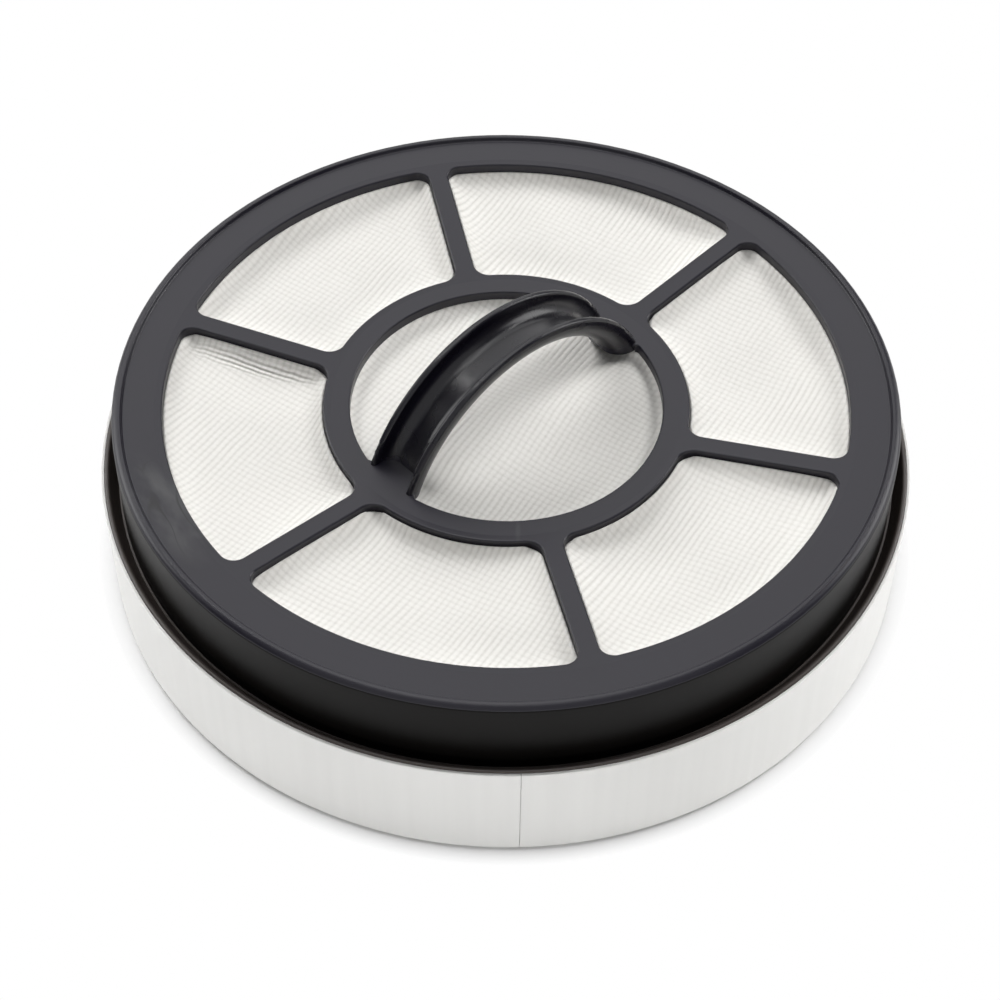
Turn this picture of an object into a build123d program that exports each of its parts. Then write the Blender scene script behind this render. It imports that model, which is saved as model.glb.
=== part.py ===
from build123d import *
import os
from math import sqrt

# Round filter cassette: a dark moulded frame with a spoked grille and a finger handle,
# a woven screen under the grille, a folded filter pack and a white side band.
# Millimetres, Z up, origin at the centre of the plane the filter stands on.
# The handle runs along the spoke at spoke_angle.

# White side band, butted at one seam
band_height = 22.2
band_thickness = 0.5
band_glue_gap = 0.05
seam_width = 0.3
seam_angle = 272.5

# Flange: an upturned lip with a gutter between it and the skirt wall
lip_radius = 74.0
lip_show = 0.3
lip_width = 0.8
lip_round = 0.3
gutter_depth = 2.5
gutter_width = 0.4
flange_width = 2.8
flange_thickness = 2.0

# Skirt wall, drawn in towards the top, and raised rim
skirt_height = 13.65
skirt_draft = 0.1
wall_thickness = 1.9
wall_corner_round = 0.8
rim_width = 1.9
rim_step = 0.7
rim_outer_round = 1.2
rim_inner_round = 0.4
rim_foot_round = 0.25

# Grille: a flat outer plate, spokes that fall towards the centre and a lower inner ring
plate_thickness = 1.9
plate_width = 7.1
ring_inner_radius = 28.5
ring_width = 4.9
ring_drop = 2.9
dish_margin = 1.4
spoke_count = 6
spoke_width = 3.7
spoke_angle = 43.6
window_outer_corner = 2.6
window_inner_corner = 3.2
edge_round = 0.35

# Handle: a channel open at the top, bent to an arc across the bore of the inner ring
handle_rise = 18.4
handle_inset = 0.2
rail_half_width = 5.4
rail_thickness = 1.3
rail_top_round = 0.55
trough_depth = 3.7
trough_round = 2.6
trough_floor = 1.5
soffit_round = 4.0
tongue_corner = 1.0
tongue_spare = 3.0

# Woven screen
screen_thickness = 0.4
screen_gap = 0.1
screen_margin = 4.4

# Folded filter pack, trimmed round
fold_pitch = 4.2
fold_inside_half = 0.35
paper_thickness = 0.5
pack_recess = 0.8
pack_gap = 0.3

# Heights that follow
lip_top = band_height + lip_show
gutter_floor = lip_top - gutter_depth
flange_under = gutter_floor - flange_thickness
rim_top = lip_top + skirt_height
plate_top = rim_top - rim_step
plate_under = plate_top - plate_thickness
ring_top = plate_top - ring_drop
ring_under = ring_top - plate_thickness

# Radii that follow
wall_foot_radius = lip_radius - flange_width
rim_radius = wall_foot_radius - skirt_draft
rim_inner_radius = rim_radius - rim_width
wall_inner_radius = rim_radius - wall_thickness
window_outer_radius = rim_inner_radius - plate_width
ring_outer_radius = ring_inner_radius + ring_width
dish_outer_radius = window_outer_radius + dish_margin
dish_inner_radius = ring_outer_radius - dish_margin
dish_slope = ring_drop / (dish_outer_radius - dish_inner_radius)
band_inner_radius = lip_radius + band_glue_gap
band_outer_radius = band_inner_radius + band_thickness
pack_radius = band_inner_radius - pack_gap
screen_radius = window_outer_radius + screen_margin
spoke_pitch = 360.0 / spoke_count

# The handle's arc: its rails end on the inner ring, a little inside the bore
handle_half_span = ring_inner_radius - handle_inset
rail_radius = (handle_half_span**2 + handle_rise**2) / (2 * handle_rise)
arc_height = ring_top + handle_rise - rail_radius
trough_radius = rail_radius - trough_depth
soffit_radius = trough_radius - trough_floor
soffit_foot = sqrt(soffit_radius**2 - (ring_under - arc_height) ** 2)
handle_axis = Axis((0, 0, arc_height), (0, 1, 0))

# Closeness at which a point counts as lying on a line or a face
near = 0.01


def plan_radius(place):
    """Distance of a point or vertex from the Z axis."""
    return sqrt(place.X**2 + place.Y**2)


def turned_outline(points):
    """A closed outline of (radius, height) points on the XZ plane."""
    return make_face(Polyline(*[(r, 0, z) for r, z in points], close=True))


def make_shell():
    """The turned body: inner disc, sloping grille, rim, skirt wall and flange."""
    lip_inner_radius = lip_radius - lip_width
    outline = turned_outline(
        [
            (0, ring_under),
            (dish_inner_radius, ring_under),
            (dish_outer_radius, plate_under),
            (wall_inner_radius, plate_under),
            (wall_inner_radius, flange_under),
            (lip_radius, flange_under),
            (lip_radius, lip_top),
            (lip_inner_radius, lip_top),
            (wall_foot_radius + gutter_width, gutter_floor),
            (wall_foot_radius, gutter_floor),
            (rim_radius, rim_top),
            (rim_inner_radius, rim_top),
            (rim_inner_radius, plate_top),
            (dish_outer_radius, plate_top),
            (dish_inner_radius, ring_top),
            (0, ring_top),
        ]
    )
    lip_limit = min(lip_round, 0.45 * lip_width)
    rounds = [
        (rim_radius, rim_top, rim_outer_round),
        (rim_inner_radius, rim_top, rim_inner_round),
        (rim_inner_radius, plate_top, rim_foot_round),
        (lip_radius, lip_top, lip_limit),
        (lip_inner_radius, lip_top, lip_limit),
        (wall_inner_radius, plate_under, wall_corner_round),
    ]
    for radius, height, size in rounds:
        corner = outline.vertices().sort_by_distance((radius, 0, height))[0]
        outline = fillet(corner, size)
    return revolve(outline, Axis.Z, 360)


def window_outline():
    """The outline of all the windows, corners rounded."""
    windows = Circle(window_outer_radius) - Circle(ring_outer_radius)
    for k in range(spoke_count // 2):
        bar = Rectangle(3 * window_outer_radius, spoke_width)
        windows -= Rot(0, 0, spoke_angle + k * spoke_pitch) * bar
    outer = [v for v in windows.vertices() if plan_radius(v) > window_outer_radius - near]
    windows = fillet(outer, window_outer_corner)
    inner = [v for v in windows.vertices() if plan_radius(v) < ring_outer_radius + near]
    return fillet(inner, window_inner_corner)


def bore_outline():
    """The bore of the inner ring with a tongue left at each end of the handle."""
    tongue_end = soffit_foot - tongue_spare
    bore = Circle(ring_inner_radius)
    for side in (-1, 1):
        centre = side * (tongue_end + ring_inner_radius)
        bore -= Pos(centre, 0) * Rectangle(2 * ring_inner_radius, 2 * rail_half_width)
    corners = [v for v in bore.vertices() if plan_radius(v) > ring_inner_radius - near]
    return Rot(0, 0, spoke_angle) * fillet(corners, tongue_corner)


def channel_block():
    """Outside of the handle channel's cross-section: across is X, along the radius is Y."""
    height = rail_radius - soffit_radius
    block = Pos(0, arc_height + soffit_radius + height / 2) * Rectangle(2 * rail_half_width, height)
    return fillet(block.vertices().group_by(Axis.Y)[0], soffit_round)


def channel_outline():
    """The handle channel's cross-section: a block with a trough in its top."""
    trough = Pos(0, arc_height + trough_radius + trough_depth) * Rectangle(
        2 * (rail_half_width - rail_thickness), 2 * trough_depth
    )
    trough = fillet(trough.vertices().group_by(Axis.Y)[0], trough_round)
    channel = channel_block() - trough
    tops = channel.vertices().group_by(Axis.Y)[-1]
    return fillet(tops, min(rail_top_round, 0.45 * rail_thickness))


def make_handle():
    """The bent channel, cut off level with the underside of the inner ring."""
    channel = revolve(Plane.YZ * channel_outline(), handle_axis, 360)
    size = 4 * rail_radius
    keep = Pos(0, 0, ring_under + size / 2) * Box(size, size, size)
    return Rot(0, 0, spoke_angle) * (channel & keep)


def make_soffit_cut():
    """What lies under the handle, used to end the tongues on its underside."""
    half = rail_half_width + edge_round
    height = soffit_radius + soffit_round
    below = Pos(0, arc_height + height / 2) * Rectangle(2 * half, height) - channel_block()
    return Rot(0, 0, spoke_angle) * revolve(Plane.YZ * below, handle_axis, 360)


def is_grille_edge(edge):
    """True for edges on the upper side of the grille, round the windows and the bore."""
    centre = edge.center()
    radius = plan_radius(centre)
    surface = ring_top + dish_slope * max(0.0, radius - dish_inner_radius)
    return radius < window_outer_radius + near and abs(centre.Z - surface) < plate_thickness / 4


def make_frame():
    depth = 2 * (plate_top - ring_under)
    openings = Pos(0, 0, ring_under - plate_thickness) * (window_outline() + bore_outline())
    shell = make_shell() - extrude(openings, depth)
    shell = fillet([e for e in shell.edges() if is_grille_edge(e)], edge_round)
    return shell - make_soffit_cut() + make_handle()


def make_mesh_screen():
    """The woven disc, stretched over the underside of the grille."""
    levels = [
        (dish_inner_radius, ring_under - screen_gap),
        (dish_outer_radius, plate_under - screen_gap),
        (screen_radius, plate_under - screen_gap),
    ]
    middle = ring_under - screen_gap
    lower = [(r, z - screen_thickness) for r, z in reversed(levels)]
    ends = [(0, middle - screen_thickness), (0, middle)]
    return revolve(turned_outline(levels + lower + ends), Axis.Z, 360)


def make_side_band():
    ring = extrude(Circle(band_outer_radius) - Circle(band_inner_radius), band_height)
    seam = Pos(band_outer_radius, 0, band_height / 2) * Box(
        6 * band_thickness, seam_width, 2 * band_height
    )
    return ring - Rot(0, 0, seam_angle) * seam


def make_filter_pack():
    """A zigzag of folded paper under the flange, trimmed to the inside of the band."""
    count = int(pack_radius / fold_pitch) + 1
    land_half = fold_inside_half + 0.9 * paper_thickness
    low = pack_recess
    upper = []
    lower = []
    for k in range(-count, count + 1):
        x = k * fold_pitch
        upper += [(x - land_half, flange_under), (x + land_half, flange_under)]
        lower += [(x - fold_inside_half, flange_under - paper_thickness)]
        lower += [(x + fold_inside_half, flange_under - paper_thickness)]
        if k < count:
            valley = x + fold_pitch / 2
            upper += [(valley - fold_inside_half, low + paper_thickness)]
            upper += [(valley + fold_inside_half, low + paper_thickness)]
            lower += [(valley - land_half, low), (valley + land_half, low)]
    folds = extrude(turned_outline(upper + lower[::-1]), 2 * pack_radius, both=True)
    return folds & extrude(Circle(pack_radius), flange_under)


os.makedirs("parts", exist_ok=True)
for name, solid in (
    ("frame", make_frame()),
    ("mesh_screen", make_mesh_screen()),
    ("filter_pack", make_filter_pack()),
    ("side_band", make_side_band()),
):
    export_step(solid, "parts/" + name + ".step")
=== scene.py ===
"""A round filter cassette: satin frame, woven screen, folded paper pack and white side band."""

import math

import bmesh
import bpy
from bpy.props import FloatProperty, FloatVectorProperty, IntProperty, PointerProperty
from mathutils import Matrix, Vector, noise


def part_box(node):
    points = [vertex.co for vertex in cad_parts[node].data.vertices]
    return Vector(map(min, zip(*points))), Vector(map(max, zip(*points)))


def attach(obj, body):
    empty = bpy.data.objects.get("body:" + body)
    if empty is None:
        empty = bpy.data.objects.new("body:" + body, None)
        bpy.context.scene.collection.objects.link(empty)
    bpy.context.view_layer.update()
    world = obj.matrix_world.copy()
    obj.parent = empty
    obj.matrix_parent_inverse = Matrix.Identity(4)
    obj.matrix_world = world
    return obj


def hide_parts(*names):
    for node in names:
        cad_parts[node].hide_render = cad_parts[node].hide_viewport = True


bl_info = {
    "name": "Round filter cassette",
    "version": (1, 0, 0),
    "blender": (4, 5, 0),
    "location": "View3D > Sidebar > Filter",
    "description": "Dresses a round filter: satin frame, woven screen, folded paper and side band",
    "category": "Object",
}

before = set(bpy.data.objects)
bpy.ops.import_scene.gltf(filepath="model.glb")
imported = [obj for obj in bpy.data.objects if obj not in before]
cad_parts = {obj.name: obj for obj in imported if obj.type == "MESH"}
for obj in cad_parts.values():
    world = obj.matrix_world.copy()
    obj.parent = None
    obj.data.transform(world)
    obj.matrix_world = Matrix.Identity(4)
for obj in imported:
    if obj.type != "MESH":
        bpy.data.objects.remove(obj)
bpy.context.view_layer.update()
screen_low, screen_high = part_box("mesh_screen")
band_low, band_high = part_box("side_band")

MM = 0.001

# Material slots of the moulded frame; the skirt and handle slots hold shaded copies of its plastic as
# painted shade, the lip slot a lit copy as painted light
TOP, SKIRT, LIP, HANDLE = range(4)

# Studio lamps: name, azimuth and elevation in degrees, distance and side in metres, radiance,
# and whether the lamp shows in glossy surfaces and lights matt ones
LAMPS = (
    ("back softbox", 98, 46, 1.5, 2.0, 1.34, True, False),
    ("top softbox", 90, 86, 1.3, 0.8, 1.6, True, False),
    ("front softbox", -90, 35, 1.3, 2.6, 0.55, True, False),
    ("left key", 130, 40, 1.3, 0.5, 13.0, False, True),
    ("right key", 31, 44, 1.2, 0.45, 12.0, False, True),
    ("top key", 90, 89, 1.3, 0.42, 2.8, False, True),
    ("left panel", 158, 24, 1.3, 0.75, 3.4, True, False),
    ("right panel", 22, 24, 1.3, 0.75, 3.8, True, False),
    ("left spot", 152, 57, 1.1, 0.06, 30.0, True, True),
    ("right spot", 36, 46, 1.1, 0.06, 40.0, True, True),
    ("overhead spot", 176, 80, 1.1, 0.05, 30.0, True, True),
    ("left fill", 205, 6, 1.4, 0.28, 22.0, False, True),
    ("right fill", -25, 6, 1.4, 0.28, 21.0, False, True),
    ("front fill", -90, 6, 1.4, 0.28, 14.0, False, True),
)


class FilterColours(bpy.types.PropertyGroup):
    """Colours of the finishes and the floor"""

    plastic: FloatVectorProperty(
        name="Plastic",
        description="Dark grey of the moulded frame",
        subtype="COLOR",
        size=3,
        min=0,
        max=1,
        default=(0.0046, 0.0036, 0.0096),
    )
    flow: FloatVectorProperty(
        name="Flow marks",
        description="Paler grey of the flow marks in the frame's top",
        subtype="COLOR",
        size=3,
        min=0,
        max=1,
        default=(0.045, 0.045, 0.048),
    )
    # The skirt colour's brownish tint and its brightness are painted warm reflection and painted light,
    # not the plastic's own colour.
    skirt: FloatVectorProperty(
        name="Skirt",
        description="Brownish dark grey of the upright wall and the lip",
        subtype="COLOR",
        size=3,
        min=0,
        max=1,
        default=(0.055, 0.045, 0.041),
    )
    cloth: FloatVectorProperty(
        name="Cloth",
        description="Warm white of the woven screen's threads",
        subtype="COLOR",
        size=3,
        min=0,
        max=1,
        default=(0.88, 0.865, 0.83),
    )
    cloth_gap: FloatVectorProperty(
        name="Cloth gaps",
        description="Shade between the threads of the screen",
        subtype="COLOR",
        size=3,
        min=0,
        max=1,
        default=(0.68, 0.665, 0.625),
    )
    paper: FloatVectorProperty(
        name="Paper",
        description="Off-white of the folded filter paper",
        subtype="COLOR",
        size=3,
        min=0,
        max=1,
        default=(0.80, 0.79, 0.76),
    )
    band: FloatVectorProperty(
        name="Side band",
        description="White of the strip glued round the side",
        subtype="COLOR",
        size=3,
        min=0,
        max=1,
        default=(0.90, 0.895, 0.875),
    )
    floor: FloatVectorProperty(
        name="Floor",
        description="White of the studio floor",
        subtype="COLOR",
        size=3,
        min=0,
        max=1,
        default=(0.82, 0.82, 0.82),
    )


class FilterSizes(bpy.types.PropertyGroup):
    """Sizes of the grille, the screen, its weave and the side band"""

    ring_inner: FloatProperty(
        name="Bore radius",
        description="Inside of the grille's inner ring",
        unit="LENGTH",
        default=28.5 * MM,
    )
    ring_outer: FloatProperty(
        name="Ring radius",
        description="Outside of the grille's inner ring",
        unit="LENGTH",
        default=33.4 * MM,
    )
    window_outer: FloatProperty(
        name="Window radius",
        description="Outer edge of the grille's windows",
        unit="LENGTH",
        default=62.1 * MM,
    )
    slope_margin: FloatProperty(
        name="Slope margin",
        description="How far the sloping part reaches under the ring and the outer plate",
        unit="LENGTH",
        default=1.4 * MM,
    )
    spoke_width: FloatProperty(
        name="Spoke width",
        description="Width of the grille's spokes",
        unit="LENGTH",
        default=3.7 * MM,
    )
    spoke_angle: FloatProperty(
        name="Spoke angle",
        description="Turn of the spoke that the handle lies along",
        subtype="ANGLE",
        default=math.radians(43.6),
    )
    spoke_count: IntProperty(
        name="Spokes",
        description="Number of spokes",
        default=6,
    )
    screen_thickness: FloatProperty(
        name="Screen thickness",
        description="Thickness of the woven screen",
        unit="LENGTH",
        default=0.35 * MM,
    )
    outer_corner: FloatProperty(
        name="Outer corners",
        description="Rounding of the windows' outer corners",
        unit="LENGTH",
        default=2.6 * MM,
    )
    inner_corner: FloatProperty(
        name="Inner corners",
        description="Rounding of the windows' inner corners",
        unit="LENGTH",
        default=3.2 * MM,
    )
    tongue_start: FloatProperty(
        name="Tongue start",
        description="Where the handle's ends close the bore, from its middle",
        unit="LENGTH",
        default=23.4 * MM,
    )
    tongue_half: FloatProperty(
        name="Tongue half width",
        description="Half the width of the handle's ends",
        unit="LENGTH",
        default=5.4 * MM,
    )
    climb: FloatProperty(
        name="Climb",
        description="How far the screen comes up along the edge of an opening",
        unit="LENGTH",
        default=1.5 * MM,
    )
    sag: FloatProperty(
        name="Sag",
        description="How far the screen falls again towards the middle of an opening",
        unit="LENGTH",
        default=3.2 * MM,
    )
    sag_reach: FloatProperty(
        name="Sag reach",
        description="Distance from an opening's edge over which the screen sags",
        unit="LENGTH",
        default=2.0 * MM,
    )
    ridge: FloatProperty(
        name="Ridge",
        description="Height of the soft ridge across the screen in the bore",
        unit="LENGTH",
        default=2.0 * MM,
    )
    bore_dip: FloatProperty(
        name="Bore dip",
        description="How far the screen in the bore falls below the inner ring",
        unit="LENGTH",
        default=1.1 * MM,
    )
    band_top_round: FloatProperty(
        name="Band top",
        description="Rounding of the side band's upper edge",
        unit="LENGTH",
        default=0.2 * MM,
    )
    band_foot_round: FloatProperty(
        name="Band foot",
        description="Rounding of the side band's lower edge",
        unit="LENGTH",
        default=0.46 * MM,
    )
    seam_gap: FloatProperty(
        name="Seam",
        description="Gap where the side band's ends meet",
        unit="LENGTH",
        default=0.08 * MM,
    )
    seam_angle: FloatProperty(
        name="Seam angle",
        description="Where round the side the band's ends meet",
        subtype="ANGLE",
        default=math.radians(272.5),
    )
    thread_pitch: FloatProperty(
        name="Thread pitch",
        description="Distance between the screen's threads",
        unit="LENGTH",
        default=1.16 * MM,
    )
    thread_angle: FloatProperty(
        name="Thread angle",
        description="Direction across the screen's stronger threads",
        subtype="ANGLE",
        default=math.radians(150),
    )


class FilterStage(bpy.types.PropertyGroup):
    """Camera and light"""

    camera_distance: FloatProperty(
        name="Camera distance",
        description="From the middle of the filter's base",
        unit="LENGTH",
        default=0.42446,
    )
    camera_height: FloatProperty(
        name="Camera elevation",
        description="Angle above the floor",
        subtype="ANGLE",
        default=math.radians(49.674),
    )
    camera_tilt: FloatProperty(
        name="Camera tilt",
        description="Turn about the camera's own right",
        subtype="ANGLE",
        default=math.radians(0.4286),
    )
    camera_pan: FloatProperty(
        name="Camera pan",
        description="Turn about the camera's own up",
        subtype="ANGLE",
        default=math.radians(0.1345),
    )
    camera_roll: FloatProperty(
        name="Camera roll",
        description="Turn about the line of sight",
        subtype="ANGLE",
        default=math.radians(-0.7852),
    )
    lens: FloatProperty(
        name="Lens",
        description="Focal length on a 36 mm sensor",
        subtype="DISTANCE_CAMERA",
        default=79.065,
    )
    sky: FloatProperty(
        name="Sky",
        description="Strength of the even light from all round",
        default=0.1,
    )
    floor_size: FloatProperty(
        name="Floor size",
        description="Side of the studio floor",
        unit="LENGTH",
        default=6.0,
    )


def new_material(name):
    """A node material and its tree, holding only a Principled shader and the output."""
    material = bpy.data.materials.new(name)
    material.use_nodes = True
    tree = material.node_tree
    tree.nodes.clear()
    output = tree.nodes.new("ShaderNodeOutputMaterial")
    shader = tree.nodes.new("ShaderNodeBsdfPrincipled")
    tree.links.new(shader.outputs["BSDF"], output.inputs["Surface"])
    return material, tree, shader


def feed(tree, socket, value):
    """Link a socket, or set it to a number, vector or colour."""
    if isinstance(value, bpy.types.NodeSocket):
        tree.links.new(value, socket)
    else:
        socket.default_value = value


def math_node(tree, operation, first, second=0.0):
    node = tree.nodes.new("ShaderNodeMath")
    node.operation = operation
    feed(tree, node.inputs[0], first)
    feed(tree, node.inputs[1], second)
    return node.outputs[0]


def weighted(tree, *shares, rest=0.0):
    """The sum of some values, each times its share, and a rest."""
    total = rest
    for value, share in shares:
        node = tree.nodes.new("ShaderNodeMath")
        node.operation = "MULTIPLY_ADD"
        feed(tree, node.inputs[0], value)
        node.inputs[1].default_value = share
        feed(tree, node.inputs[2], total)
        total = node.outputs[0]
    return total


def object_place(tree):
    return tree.nodes.new("ShaderNodeTexCoord").outputs["Object"]


def turned(tree, vector, angle=0.0, scale=(1, 1, 1)):
    """The vector turned about Z, after scaling."""
    node = tree.nodes.new("ShaderNodeMapping")
    feed(tree, node.inputs["Vector"], vector)
    node.inputs["Rotation"].default_value = (0, 0, angle)
    node.inputs["Scale"].default_value = scale
    return node.outputs["Vector"]


def grain(tree, vector, scale, detail=2.0, roughness=0.5):
    node = tree.nodes.new("ShaderNodeTexNoise")
    feed(tree, node.inputs["Vector"], vector)
    node.inputs["Scale"].default_value = scale
    node.inputs["Detail"].default_value = detail
    node.inputs["Roughness"].default_value = roughness
    return node.outputs["Fac"]


def spread(tree, value, low, high, to_low, to_high):
    """The value moved from one range to another, and kept inside it."""
    node = tree.nodes.new("ShaderNodeMapRange")
    feed(tree, node.inputs["Value"], value)
    node.inputs["From Min"].default_value = low
    node.inputs["From Max"].default_value = high
    node.inputs["To Min"].default_value = to_low
    node.inputs["To Max"].default_value = to_high
    return node.outputs["Result"]


def between(tree, factor, first, second):
    """A colour between two colours."""
    node = tree.nodes.new("ShaderNodeMix")
    node.data_type = "RGBA"
    feed(tree, node.inputs["Factor"], factor)
    for name, colour in (("A", first), ("B", second)):
        linked = isinstance(colour, bpy.types.NodeSocket)
        feed(tree, node.inputs[name], colour if linked else (*colour, 1))
    return node.outputs["Result"]


def relief(tree, shader, height, distance, strength=1.0):
    node = tree.nodes.new("ShaderNodeBump")
    feed(tree, node.inputs["Height"], height)
    node.inputs["Distance"].default_value = distance
    node.inputs["Strength"].default_value = strength
    tree.links.new(node.outputs["Normal"], shader.inputs["Normal"])


def shaded(colour, share):
    return tuple(c * share for c in colour)


def mark(tree, place, centre, half, turn=0.0):
    """1 in the middle of a soft oval mark, 0 outside it."""
    away = tree.nodes.new("ShaderNodeVectorMath")
    away.operation = "SUBTRACT"
    feed(tree, away.inputs[0], place)
    away.inputs[1].default_value = centre
    laid = turned(tree, away.outputs["Vector"], -turn)
    sized = turned(tree, laid, 0, tuple(1 / h for h in half))
    length = tree.nodes.new("ShaderNodeVectorMath")
    length.operation = "LENGTH"
    tree.links.new(sized, length.inputs[0])
    return spread(tree, length.outputs["Value"], 0.35, 1.0, 1, 0)


def satin_plastic(name, colour, specular, roughness, grit=0.2):
    """Dark moulded plastic with a fine grain."""
    material, tree, shader = new_material(name)
    place = object_place(tree)
    broad = grain(tree, place, 90.0, 3.0)
    tint = between(tree, broad, shaded(colour, 0.9), shaded(colour, 1.1))
    tree.links.new(tint, shader.inputs["Base Color"])
    gloss = spread(tree, broad, 0.3, 0.7, roughness - 0.02, roughness + 0.02)
    tree.links.new(gloss, shader.inputs["Roughness"])
    shader.inputs["Specular IOR Level"].default_value = specular
    relief(tree, shader, grain(tree, place, 1800.0, 2.0), 0.00002, grit)
    return material


def flow_marked_plastic(name, colour, pale, specular, roughness):
    """The top's plastic: pale flow marks at the left, a weld line and a spot."""
    material = satin_plastic(name, colour, specular, roughness)
    tree = material.node_tree
    shader = next(n for n in tree.nodes if n.type == "BSDF_PRINCIPLED")
    place = object_place(tree)
    plain = shader.inputs["Base Color"].links[0].from_socket
    lean = math.radians(32)
    run = turned(tree, turned(tree, place, -lean), 0, (1, 0.4, 1))
    swirl = spread(tree, grain(tree, run, 200.0, 3.0, 0.55), 0.40, 0.62, 0, 1)
    cloud = mark(tree, place, (-0.0585, -0.0290, 0.0354), (0.0052, 0.0160, 0.004), lean)
    clouds = math_node(tree, "MULTIPLY", cloud, swirl)
    weld = mark(tree, place, (0.0023, -0.0309, 0.0326), (0.0006, 0.0032, 0.004))
    spot = mark(tree, place, (-0.0520, -0.0350, 0.0354), (0.0016, 0.0012, 0.004))
    marks = weighted(tree, (clouds, 0.9), (weld, 0.3), (spot, 0.25))
    tint = between(tree, marks, plain, pale)
    curl = weighted(tree, (grain(tree, run, 150.0, 1.0), 1.0), rest=-0.48)
    line = spread(tree, math_node(tree, "ABSOLUTE", curl), 0.0, 0.012, 1, 0)
    lines = math_node(tree, "MULTIPLY", line, cloud)
    tree.links.new(between(tree, lines, tint, shaded(colour, 0.3)), shader.inputs["Base Color"])
    return material


def gap_between(tree, phase, narrow):
    """0 along a thread, rising to 1 in the narrow gap beside it."""
    wave = math_node(tree, "COSINE", phase)
    return math_node(tree, "POWER", spread(tree, wave, 1, -1, 0, 1), narrow)


def woven_cloth(name, colours, sizes):
    """Plain weave of straight threads, those of one direction standing higher."""
    material, tree, shader = new_material(name)
    place = object_place(tree)
    drift = tree.nodes.new("ShaderNodeTexNoise")
    feed(tree, drift.inputs["Vector"], place)
    drift.inputs["Scale"].default_value = 40.0
    drift.inputs["Detail"].default_value = 2.0
    shift = tree.nodes.new("ShaderNodeVectorMath")
    shift.operation = "MULTIPLY_ADD"
    tree.links.new(drift.outputs["Color"], shift.inputs[0])
    shift.inputs[1].default_value = (0.0026, 0.0026, 0.0)
    tree.links.new(place, shift.inputs[2])
    across = math.tau / sizes.thread_pitch
    laid = turned(tree, shift.outputs["Vector"], -sizes.thread_angle, (across, across, across))
    parts = tree.nodes.new("ShaderNodeSeparateXYZ")
    tree.links.new(laid, parts.inputs[0])
    patchy = grain(tree, place, 60.0, 2.0)
    rib_share = spread(tree, patchy, 0.38, 0.62, 0.45, 1.0)
    cross_share = spread(tree, patchy, 0.38, 0.62, 0.75, 0.2)
    rib = math_node(tree, "MULTIPLY", gap_between(tree, parts.outputs["X"], 1.8), rib_share)
    cross = math_node(tree, "MULTIPLY", gap_between(tree, parts.outputs["Y"], 1.8), cross_share)
    gaps = weighted(tree, (rib, 0.62), (cross, 0.38))
    fuzz = grain(tree, place, 1500.0, 3.0, 0.6)
    depth = weighted(tree, (gaps, 1.1), (fuzz, 0.55), rest=-0.27)
    tint = between(tree, spread(tree, depth, 0, 1, 0, 1), colours.cloth, colours.cloth_gap)
    tree.links.new(tint, shader.inputs["Base Color"])
    shader.inputs["Roughness"].default_value = 0.8
    shader.inputs["Specular IOR Level"].default_value = 0.2
    crease = crease_lines(tree, place, sizes)
    height = weighted(tree, (depth, -1.0), (crease, 1.2))
    relief(tree, shader, height, 0.00011, 1.0)
    return material


def crease_lines(tree, place, sizes):
    """Fine creases in the screen, gathered along the front of the left rear spoke."""
    along = sizes.spoke_angle + math.tau / 3
    wander = grain(tree, place, 130.0, 2.0)
    laid = turned(tree, place, -along)
    parts = tree.nodes.new("ShaderNodeSeparateXYZ")
    tree.links.new(laid, parts.inputs[0])
    phase = weighted(
        tree,
        (parts.outputs["Y"], math.tau / 0.0008),
        (parts.outputs["X"], 190.0),
        (wander, 9.0),
    )
    lines = math_node(tree, "SINE", phase)
    lean = along + math.radians(4)
    patch = mark(tree, place, (-0.0452, 0.0096, 0.0325), (0.0150, 0.0027, 0.02), lean)
    return math_node(tree, "MULTIPLY", lines, patch)


def white_band(name, colour):
    """Smooth white strip with faint upright streaks."""
    material, tree, shader = new_material(name)
    place = object_place(tree)
    streaks = grain(tree, turned(tree, place, 0, (1, 1, 0.03)), 500.0, 2.0)
    tint = between(tree, spread(tree, streaks, 0.3, 0.7, 0, 1), shaded(colour, 0.975), colour)
    tree.links.new(tint, shader.inputs["Base Color"])
    shader.inputs["Roughness"].default_value = 0.55
    shader.inputs["Specular IOR Level"].default_value = 0.3
    relief(tree, shader, streaks, 0.00003, 0.2)
    return material


def fibre_paper(name, colour):
    """Matt filter paper with matted fibres."""
    material, tree, shader = new_material(name)
    place = object_place(tree)
    fibres = grain(tree, place, 1400.0, 6.0, 0.65)
    tint = between(tree, spread(tree, fibres, 0.3, 0.7, 0, 1), shaded(colour, 0.92), colour)
    tree.links.new(tint, shader.inputs["Base Color"])
    shader.inputs["Roughness"].default_value = 0.9
    shader.inputs["Specular IOR Level"].default_value = 0.2
    relief(tree, shader, fibres, 0.00006, 0.6)
    return material


def add_piece(name, mesh_data, material, body="root"):
    """A new object at the origin that rides on the filter's body."""
    mesh = bpy.data.meshes.new(name)
    mesh_data.to_mesh(mesh)
    mesh_data.free()
    piece = bpy.data.objects.new(name, mesh)
    bpy.context.scene.collection.objects.link(piece)
    mesh.materials.append(material)
    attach(piece, body)
    return piece


def dress(node, material):
    """Give a carried-over solid its finish."""
    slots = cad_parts[node].data.materials
    slots.clear()
    slots.append(material)


def rise(distance, reach):
    """0 at an opening's edge, towards 1 inside it."""
    return 1 - math.exp(-max(0.0, distance) / reach)


def blended_distance(*distances):
    """Distance inside several edges, without a crease where two are equally near."""
    return sum(d**-2 for d in distances) ** -0.5


def rounded_corner(first, second, radius):
    """Distance inside two edges that meet in a rounded corner."""
    if min(first, second) < 0 or max(first, second) > radius:
        return min(first, second)
    return radius - math.hypot(radius - first, radius - second)


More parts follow.
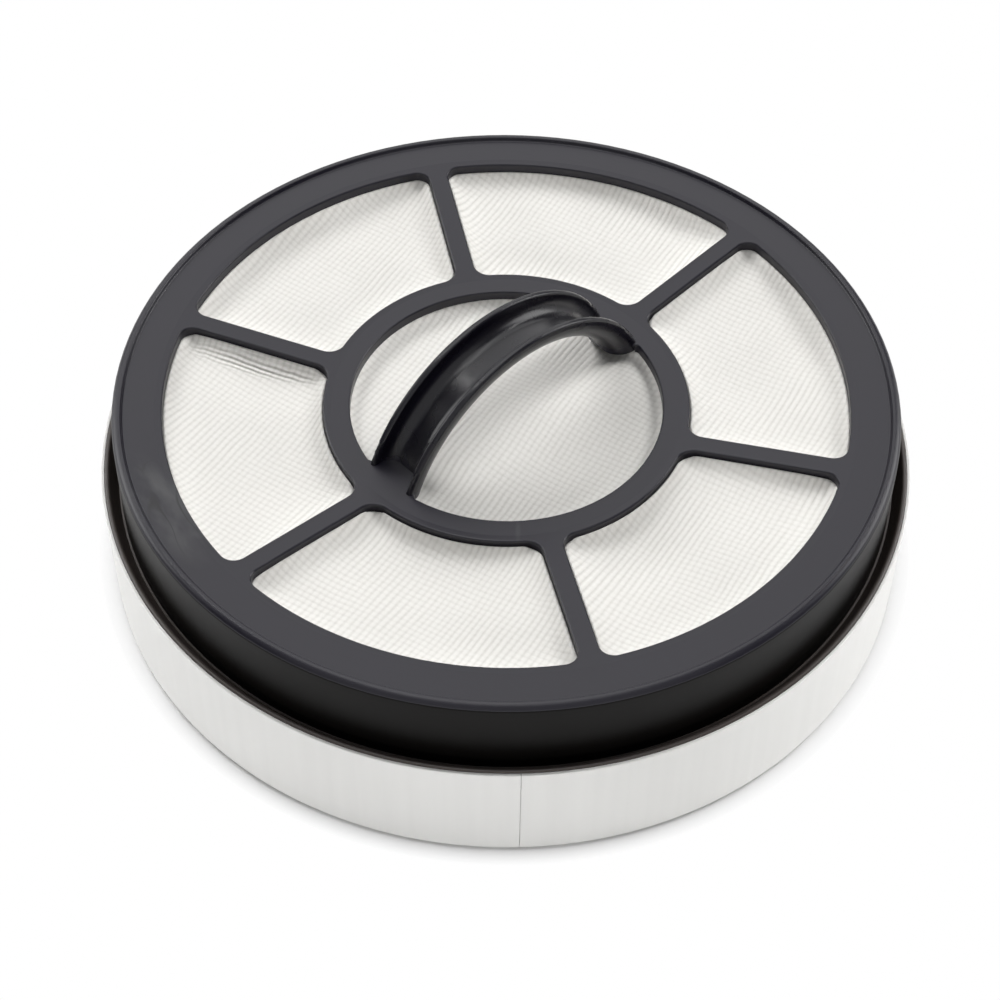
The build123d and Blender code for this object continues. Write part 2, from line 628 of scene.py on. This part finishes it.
class FILTER_OT_frame(bpy.types.Operator):
    """Dress the moulded frame, with its rim, skirt and lip turned afresh"""

    bl_idname = "filter_cassette.frame"
    bl_label = "Moulded frame"

    top_edge = Vector((68.95, 35.45)) * MM
    under_edge = Vector((68.4, 33.55)) * MM
    near = 0.01 * MM
    handle_reach = 30 * MM
    handle_foot = 33.2 * MM
    sharp_angle = math.radians(32)

    # Rim, in millimetres: a soft step up from the flat top, then an outward rounding
    step_start = Vector((69.0, 35.45))
    rim_start = Vector((69.65, 36.15))
    step_bend = Vector((0.35, 0.7))
    rim_round = Vector((1.45, 1.2))
    step_turns = 5
    step_angle = math.radians(12)
    rim_turns = 14
    rim_skirt_turn = 12

    # Radius, height and material slot from the rim down the wall, over the lip and up the inside; the
    # wall's slot carries painted shade and the lip's painted light
    wall_points = (
        (71.11, 33.5, SKIRT),
        (71.15, 27.5, SKIRT),
        (71.19, 21.5, SKIRT),
        (71.2, 20.1, SKIRT),
        (71.26, 20.0, SKIRT),
        (71.6, 20.0, LIP),
        (73.0, 22.2, LIP),
        (73.1, 22.34, LIP),
        (73.26, 22.46, LIP),
        (73.45, 22.5, LIP),
        (73.7, 22.5, LIP),
        (73.88, 22.43, LIP),
        (73.98, 22.3, LIP),
        (74.0, 22.1, LIP),
        (74.0, 18.0, LIP),
        (69.2, 18.0, SKIRT),
        (69.2, 26.0, SKIRT),
        (69.2, 32.6, SKIRT),
        (69.1, 33.05, SKIRT),
        (68.85, 33.4, SKIRT),
    )

    def execute(self, context):
        colours = context.scene.filter_colours
        plastic = tuple(colours.plastic)
        skirt = tuple(colours.skirt)
        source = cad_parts["frame"].data
        bm = bmesh.new()
        bm.from_mesh(source)
        kept = bm.loops.layers.float_vector.new("kept_normal")
        corners = (loop for f in bm.faces for loop in f.loops)
        for loop, normal in zip(corners, source.corner_normals):
            loop[kept] = normal.vector
        bmesh.ops.remove_doubles(bm, verts=bm.verts[:], dist=0.001 * MM)
        turned_off = [f for f in bm.faces if self.is_turned(f)]
        bmesh.ops.delete(bm, geom=turned_off, context="FACES")
        for f in bm.faces:
            f.smooth = True
            place = f.calc_center_median()
            on_handle = place.xy.length < self.handle_reach and place.z > self.handle_foot
            f.material_index = HANDLE if on_handle else TOP
        old = set(bm.faces)
        self.turn_skirt(bm)
        for loop in (loop for f in bm.faces if f not in old for loop in f.loops):
            loop[kept] = (0, 0, 0)
        top = flow_marked_plastic("satin plastic", plastic, tuple(colours.flow), 0.5, 0.34)
        piece = add_piece("moulded_frame", bm, top)
        slots = piece.data.materials
        # The upright wall gets the skirt colour at a twentieth as painted shade, and the lip gets it in
        # full as painted light and reflection.
        slots.append(satin_plastic("skirt plastic with painted shade", shaded(skirt, 0.05), 0.1, 0.4))
        slots.append(satin_plastic("lip plastic with painted light", skirt, 0.5, 0.34))
        # The handle takes the frame plastic at 0.6 as painted shade for its dark trough, with a
        # smoother finish.
        slots.append(satin_plastic("handle plastic with painted shade", shaded(plastic, 0.6), 0.5, 0.27, 0.04))
        layer = piece.data.attributes["kept_normal"]
        piece.data.normals_split_custom_set([corner.vector.copy() for corner in layer.data])
        piece.data.attributes.remove(piece.data.attributes["kept_normal"])
        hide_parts("frame")
        return {"FINISHED"}

    def is_turned(self, face):
        """True for the rim, the skirt and the flange, outside the flat top and its underside."""
        corners = [Vector((v.co.xy.length, v.co.z)) for v in face.verts]
        if min(c.x for c in corners) < self.under_edge.x - self.near:
            return False
        for edge in (self.top_edge, self.under_edge):
            flat = all(abs(c.y - edge.y) < self.near for c in corners)
            if flat and max(c.x for c in corners) < edge.x + self.near:
                return False
        return True

    def profile(self):
        """Radius, height and material slot along the turned surface, from the flat top to its
        underside; the skirt and lip slots carry painted shade and painted light.
        """
        foot, crown, bend, rim = self.step_start, self.rim_start, self.step_bend, self.rim_round
        points = [(foot.x, foot.y, TOP)]
        for k in range(1, self.step_turns + 1):
            t = k * self.step_angle
            points.append((foot.x + bend.x * math.sin(t), foot.y + bend.y * (1 - math.cos(t)), TOP))
        for k in range(self.step_turns, 0, -1):
            t = k * self.step_angle
            points.append((crown.x - bend.x * math.sin(t), crown.y - bend.y * (1 - math.cos(t)), TOP))
        points.append((crown.x, crown.y, TOP))
        for k in range(1, self.rim_turns + 1):
            t = math.radians(90 * k / self.rim_turns)
            finish = TOP if k < self.rim_skirt_turn else SKIRT
            points.append((crown.x + rim.x * math.sin(t), crown.y - rim.y * (1 - math.cos(t)), finish))
        return points + list(self.wall_points)

    def turn_skirt(self, bm):
        """Draw the edge of the flat top out along the profile, and close it on the underside."""
        loop = [e for e in bm.edges if e.is_boundary and self.on_edge(e, self.top_edge)]
        last = [e for e in bm.edges if e.is_boundary and self.on_edge(e, self.under_edge)]
        if not loop or not last:
            raise RuntimeError("the frame's flat top has no free edge to turn the skirt from")
        for radius, height, finish in self.profile():
            drawn = bmesh.ops.extrude_edge_only(bm, edges=loop)["geom"]
            loop = [g for g in drawn if isinstance(g, bmesh.types.BMEdge)]
            for v in (g for g in drawn if isinstance(g, bmesh.types.BMVert)):
                v.co.xy *= radius * MM / v.co.xy.length
                v.co.z = height * MM
            for f in (g for g in drawn if isinstance(g, bmesh.types.BMFace)):
                f.smooth = True
                f.material_index = finish
            loop = [e for e in loop if all(abs(v.co.z - height * MM) < self.near for v in e.verts)]
        closed = bmesh.ops.bridge_loops(bm, edges=loop + last)["faces"]
        for f in closed:
            f.smooth = True
            f.material_index = SKIRT
        for e in bm.edges:
            if len(e.link_faces) == 2 and e.calc_face_angle(0) > self.sharp_angle:
                e.smooth = False

    def on_edge(self, edge, place):
        return all(
            abs(v.co.xy.length - place.x) < 5 * self.near and abs(v.co.z - place.y) < self.near
            for v in edge.verts
        )


class FILTER_OT_screen(bpy.types.Operator):
    """Stretch the woven screen under the grille, sagging in the windows and ridged in the bore"""

    bl_idname = "filter_cassette.screen"
    bl_label = "Woven screen"

    rings = 99
    bore_rings = 40
    ring_rings = 43
    window_rings = 96
    steps = 360
    spoke_steps = 3

    # Distances from an opening's edge over which each form of the screen sets in
    climb_reach = 0.2 * MM
    corner_reach = 0.3 * MM
    plate_reach = 2.5 * MM
    ripple_reach = 4 * MM
    dip_reach = 1 * MM
    ridge_reach = 5 * MM
    tongue_reach = 1.5 * MM

    # The ridge across the bore: a place on its crest, the way across it and its half width
    crest = Vector((6.0, -0.8, 0)) * MM
    across = Vector((-0.475, 0.88, 0))
    ridge_half = 8.0 * MM

    def execute(self, context):
        sizes = context.scene.filter_sizes
        radius = screen_high.x
        bm = bmesh.new()
        centre = bm.verts.new((0, 0, 0))
        edge = bm.verts.new((self.rings, 0, 0))
        line = bm.edges.new((centre, edge))
        bmesh.ops.subdivide_edges(bm, edges=[line], cuts=self.rings - 1)
        bmesh.ops.spin(
            bm,
            geom=bm.verts[:] + bm.edges[:],
            cent=(0, 0, 0),
            axis=(0, 0, 1),
            angle=2 * math.pi,
            steps=self.steps,
            use_merge=True,
        )
        bmesh.ops.remove_doubles(bm, verts=bm.verts[:], dist=0.001)
        for v in bm.verts:
            r = self.graded_radius(round(v.co.xy.length), radius, sizes)
            turn = self.graded_turn(math.atan2(v.co.y, v.co.x), r, sizes)
            place = Vector((r * math.cos(turn), r * math.sin(turn), 0))
            v.co = place + Vector((0, 0, self.level(r, sizes) + self.form(place, r, sizes)))
        bmesh.ops.recalc_face_normals(bm, faces=bm.faces[:])
        for f in bm.faces:
            f.smooth = True
        cloth = woven_cloth("woven cloth", context.scene.filter_colours, sizes)
        piece = add_piece("woven_screen", bm, cloth)
        wall = piece.modifiers.new("thickness", "SOLIDIFY")
        wall.thickness = sizes.screen_thickness
        wall.offset = -1
        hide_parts("mesh_screen")
        return {"FINISHED"}

    def graded_radius(self, ring, radius, sizes):
        """Radius of a ring of the screen; the rings crowd together at the openings' edges."""
        if ring <= self.bore_rings:
            return sizes.ring_inner * (1 - (1 - ring / self.bore_rings) ** 1.5)
        if ring <= self.ring_rings:
            share = (ring - self.bore_rings) / (self.ring_rings - self.bore_rings)
            return sizes.ring_inner + share * (sizes.ring_outer - sizes.ring_inner)
        if ring <= self.window_rings:
            share = (ring - self.ring_rings) / (self.window_rings - self.ring_rings)
            near_edge = 0.5 * (2 * min(share, 1 - share)) ** 1.5
            share = near_edge if share < 0.5 else 1 - near_edge
            return sizes.ring_outer + share * (sizes.window_outer - sizes.ring_outer)
        share = (ring - self.window_rings) / (self.rings - self.window_rings)
        return sizes.window_outer + share * (radius - sizes.window_outer)

    def graded_turn(self, turn, r, sizes):
        """Turn of a line of the screen; the lines crowd together beside the spokes."""
        if r <= sizes.ring_inner:
            return turn
        pitch = math.tau / sizes.spoke_count
        spoke = round((turn - sizes.spoke_angle) / pitch) * pitch + sizes.spoke_angle
        off = turn - spoke
        step = math.tau / self.steps
        half_lines = round(pitch / 2 / step)
        count = abs(off) / step
        edge = math.asin(sizes.spoke_width / 2 / r)
        if count <= self.spoke_steps:
            graded = edge * count / self.spoke_steps
        else:
            share = (count - self.spoke_steps) / (half_lines - self.spoke_steps)
            graded = edge + (pitch / 2 - edge) * share**1.6
        return spoke + math.copysign(graded, off)

    def level(self, r, sizes):
        """Height of the grille's underside."""
        low, high = screen_low.z + 0.4 * MM, screen_high.z
        inner = sizes.ring_outer - sizes.slope_margin
        outer = sizes.window_outer + sizes.slope_margin
        return low + min(1.0, max(0.0, (r - inner) / (outer - inner))) * (high - low)

    def form(self, place, r, sizes):
        """How far the screen lies above the grille's underside."""
        if r < sizes.ring_inner:
            return self.bore_form(place, r, sizes)
        from_ring = r - sizes.ring_outer
        from_plate = sizes.window_outer - r
        from_spoke = self.spoke_distance(place, sizes)
        inside = min(
            rounded_corner(from_ring, from_spoke, sizes.inner_corner),
            rounded_corner(from_plate, from_spoke, sizes.outer_corner),
        )
        if inside <= 0:
            return 0.0
        ripple = noise.noise(place * 90) * 0.25 * MM
        sag = sizes.sag * (1 + 0.35 * noise.noise(place * 45))
        depth = blended_distance(from_ring, from_plate, from_spoke)
        fall = sag * rise(depth, sizes.sag_reach) * rise(inside, self.corner_reach)
        held = 0.3 + 0.7 * rise(from_plate, self.plate_reach)
        climb = held * sizes.climb * rise(inside, self.climb_reach)
        return climb - fall + ripple * rise(inside, self.ripple_reach)

    def spoke_distance(self, place, sizes):
        """Distance from the side of the nearest spoke."""
        return min(
            abs(place.x * math.sin(turn) - place.y * math.cos(turn)) - sizes.spoke_width / 2
            for turn in (
                sizes.spoke_angle + k * math.tau / sizes.spoke_count
                for k in range(sizes.spoke_count // 2)
            )
        )

    def bore_form(self, place, r, sizes):
        """A soft ridge across the bore, falling away towards the front."""
        along = Vector((math.cos(sizes.spoke_angle), math.sin(sizes.spoke_angle), 0))
        side = Vector((-along.y, along.x, 0))
        off_tongue = max(
            sizes.tongue_start - abs(place.dot(along)),
            abs(place.dot(side)) - sizes.tongue_half,
        )
        inside = sizes.ring_inner - r
        off = (place - self.crest).dot(self.across)
        ridge = sizes.ridge * math.exp(-((off / self.ridge_half) ** 2))
        ripple = noise.noise(place * 80) * 0.3 * MM
        dip = sizes.bore_dip * rise(inside, self.dip_reach)
        raised = (ridge + ripple) * rise(inside, self.ridge_reach) * rise(off_tongue, self.tongue_reach)
        return raised - dip


class FILTER_OT_pack(bpy.types.Operator):
    """Give the folded pack its paper"""

    bl_idname = "filter_cassette.pack"
    bl_label = "Folded paper"

    def execute(self, context):
        dress("filter_pack", fibre_paper("filter paper", tuple(context.scene.filter_colours.paper)))
        return {"FINISHED"}


class FILTER_OT_band(bpy.types.Operator):
    """Wrap the white band round the side, its ends butted at the seam"""

    bl_idname = "filter_cassette.band"
    bl_label = "Side band"

    thickness = 0.5 * MM
    undercut = 1.8
    steps = 240
    sharp_angle = math.radians(35)

    def execute(self, context):
        sizes = context.scene.filter_sizes
        outer = band_high.x
        height = band_high.z - band_low.z
        bm = bmesh.new()
        bmesh.ops.create_grid(bm, x_segments=1, y_segments=1, size=0.5)
        bmesh.ops.rotate(bm, verts=bm.verts[:], matrix=Matrix.Rotation(math.radians(90), 3, "X"))
        bmesh.ops.scale(bm, verts=bm.verts[:], vec=(self.thickness, 1, height))
        middle = Vector((outer - self.thickness / 2, 0, band_low.z + height / 2))
        bmesh.ops.translate(bm, verts=bm.verts[:], vec=middle)
        for sign, size in ((1, sizes.band_top_round), (-1, sizes.band_foot_round)):
            corner = [v for v in bm.verts if v.co.x > middle.x and sign * (v.co.z - middle.z) > 0]
            bmesh.ops.bevel(
                bm,
                geom=corner,
                offset=size,
                offset_type="OFFSET",
                affect="VERTICES",
                segments=4,
                profile=0.5,
                material=-1,
            )
        for v in bm.verts:
            if v.co.z < band_low.z + 1.01 * sizes.band_foot_round:
                v.co.z = band_low.z + self.undercut * (v.co.z - band_low.z)
        half_gap = sizes.seam_gap / 2 / outer
        start = Matrix.Rotation(sizes.seam_angle + half_gap, 3, "Z")
        bmesh.ops.rotate(bm, verts=bm.verts[:], matrix=start)
        bmesh.ops.spin(
            bm,
            geom=bm.faces[:],
            cent=(0, 0, 0),
            axis=(0, 0, 1),
            angle=math.tau - 2 * half_gap,
            steps=self.steps,
            use_merge=False,
        )
        bmesh.ops.remove_doubles(bm, verts=bm.verts[:], dist=0.001 * MM)
        bmesh.ops.recalc_face_normals(bm, faces=bm.faces[:])
        for f in bm.faces:
            f.smooth = True
        strip = white_band("white strip", tuple(context.scene.filter_colours.band))
        piece = add_piece("side_strip", bm, strip)
        piece.data.set_sharp_from_angle(angle=self.sharp_angle)
        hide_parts("side_band")
        return {"FINISHED"}


class FILTER_OT_stage(bpy.types.Operator):
    """Set up the floor, the lights and the camera"""

    bl_idname = "filter_cassette.stage"
    bl_label = "Stage"

    # Distances from the axis between which the floor's shadow gives way to white
    shadow_from = 0.0747
    shadow_to = 0.0778

    def execute(self, context):
        stage = context.scene.filter_stage
        self.floor(context, stage)
        self.lights(context, stage)
        self.camera(context, stage)
        context.scene.view_settings.view_transform = "Standard"
        return {"FINISHED"}

    def floor(self, context, stage):
        bm = bmesh.new()
        bmesh.ops.create_grid(bm, x_segments=1, y_segments=1, size=stage.floor_size / 2)
        mesh = bpy.data.meshes.new("studio_floor")
        bm.to_mesh(mesh)
        bm.free()
        floor = bpy.data.objects.new("studio_floor", mesh)
        context.scene.collection.objects.link(floor)
        material, tree, shader = new_material("studio floor")
        shader.inputs["Base Color"].default_value = (*context.scene.filter_colours.floor, 1)
        shader.inputs["Roughness"].default_value = 1.0
        shader.inputs["Specular IOR Level"].default_value = 0.0
        self.white_distance(tree, shader)
        mesh.materials.append(material)

    def white_distance(self, tree, shader):
        """Away from the filter the floor shows plain white, and near it it keeps the shadow."""
        length = tree.nodes.new("ShaderNodeVectorMath")
        length.operation = "LENGTH"
        tree.links.new(object_place(tree), length.inputs[0])
        away = spread(tree, length.outputs["Value"], self.shadow_from, self.shadow_to, 0, 1)
        far = math_node(tree, "POWER", away, 0.5)
        seen = tree.nodes.new("ShaderNodeLightPath")
        looks = math_node(tree, "MAXIMUM", seen.outputs["Is Camera Ray"], seen.outputs["Is Glossy Ray"])
        looks = math_node(tree, "MAXIMUM", looks, seen.outputs["Is Transmission Ray"])
        glow = tree.nodes.new("ShaderNodeEmission")
        mix = tree.nodes.new("ShaderNodeMixShader")
        tree.links.new(math_node(tree, "MULTIPLY", far, looks), mix.inputs["Fac"])
        tree.links.new(shader.outputs["BSDF"], mix.inputs[1])
        tree.links.new(glow.outputs["Emission"], mix.inputs[2])
        output = next(n for n in tree.nodes if n.type == "OUTPUT_MATERIAL")
        tree.links.new(mix.outputs["Shader"], output.inputs["Surface"])

    def lights(self, context, stage):
        world = bpy.data.worlds.new("studio")
        world.use_nodes = True
        background = world.node_tree.nodes["Background"]
        background.inputs["Color"].default_value = (1, 1, 1, 1)
        background.inputs["Strength"].default_value = stage.sky
        context.scene.world = world
        for name, azimuth, elevation, distance, side, radiance, glossy, diffuse in LAMPS:
            lamp = bpy.data.lights.new(name, "AREA")
            lamp.shape = "SQUARE"
            lamp.size = side
            lamp.energy = radiance * math.pi * side**2
            place = Matrix.Rotation(math.radians(azimuth), 3, "Z") @ Vector(
                (
                    distance * math.cos(math.radians(elevation)),
                    0,
                    distance * math.sin(math.radians(elevation)),
                )
            )
            holder = bpy.data.objects.new(name, lamp)
            holder.location = place
            holder.rotation_euler = (-place).to_track_quat("-Z", "Y").to_euler()
            holder.visible_glossy = glossy
            holder.visible_diffuse = diffuse
            context.scene.collection.objects.link(holder)

    def camera(self, context, stage):
        data = bpy.data.cameras.new("camera")
        data.lens = stage.lens
        data.sensor_width = 36
        data.clip_start = 0.01
        camera = bpy.data.objects.new("camera", data)
        context.scene.collection.objects.link(camera)
        away = Vector((0, -math.cos(stage.camera_height), math.sin(stage.camera_height)))
        right = Vector((1, 0, 0))
        ahead = -away
        up = right.cross(ahead)
        turn = Matrix.Rotation(stage.camera_tilt, 3, right)
        ahead, up = turn @ ahead, turn @ up
        turn = Matrix.Rotation(stage.camera_pan, 3, up)
        ahead, right = turn @ ahead, turn @ right
        turn = Matrix.Rotation(stage.camera_roll, 3, ahead)
        right, up = turn @ right, turn @ up
        axes = Matrix((right, up, -ahead)).transposed()
        camera.matrix_world = Matrix.Translation(away * stage.camera_distance) @ axes.to_4x4()
        context.scene.camera = camera


class FILTER_PT_cassette(bpy.types.Panel):
    """Lists the pieces of the filter and their settings"""

    bl_label = "Filter cassette"
    bl_idname = "FILTER_PT_cassette"
    bl_space_type = "VIEW_3D"
    bl_region_type = "UI"
    bl_category = "Filter"

    def draw(self, context):
        for operator in OPERATORS:
            self.layout.operator(operator.bl_idname)
        for group in (
            context.scene.filter_sizes,
            context.scene.filter_colours,
            context.scene.filter_stage,
        ):
            box = self.layout.box()
            for name in group.__annotations__:
                box.prop(group, name)


OPERATORS = (FILTER_OT_frame, FILTER_OT_screen, FILTER_OT_pack, FILTER_OT_band, FILTER_OT_stage)
GROUPS = (FilterColours, FilterSizes, FilterStage)


def register():
    for cls in GROUPS + OPERATORS + (FILTER_PT_cassette,):
        bpy.utils.register_class(cls)
    bpy.types.Scene.filter_colours = PointerProperty(type=FilterColours)
    bpy.types.Scene.filter_sizes = PointerProperty(type=FilterSizes)
    bpy.types.Scene.filter_stage = PointerProperty(type=FilterStage)


def unregister():
    del bpy.types.Scene.filter_stage
    del bpy.types.Scene.filter_sizes
    del bpy.types.Scene.filter_colours
    for cls in reversed(GROUPS + OPERATORS + (FILTER_PT_cassette,)):
        bpy.utils.unregister_class(cls)


def main():
    register()
    bpy.ops.filter_cassette.frame()
    bpy.ops.filter_cassette.screen()
    bpy.ops.filter_cassette.pack()
    bpy.ops.filter_cassette.band()
    bpy.ops.filter_cassette.stage()


if __name__ == "__main__":
    main()
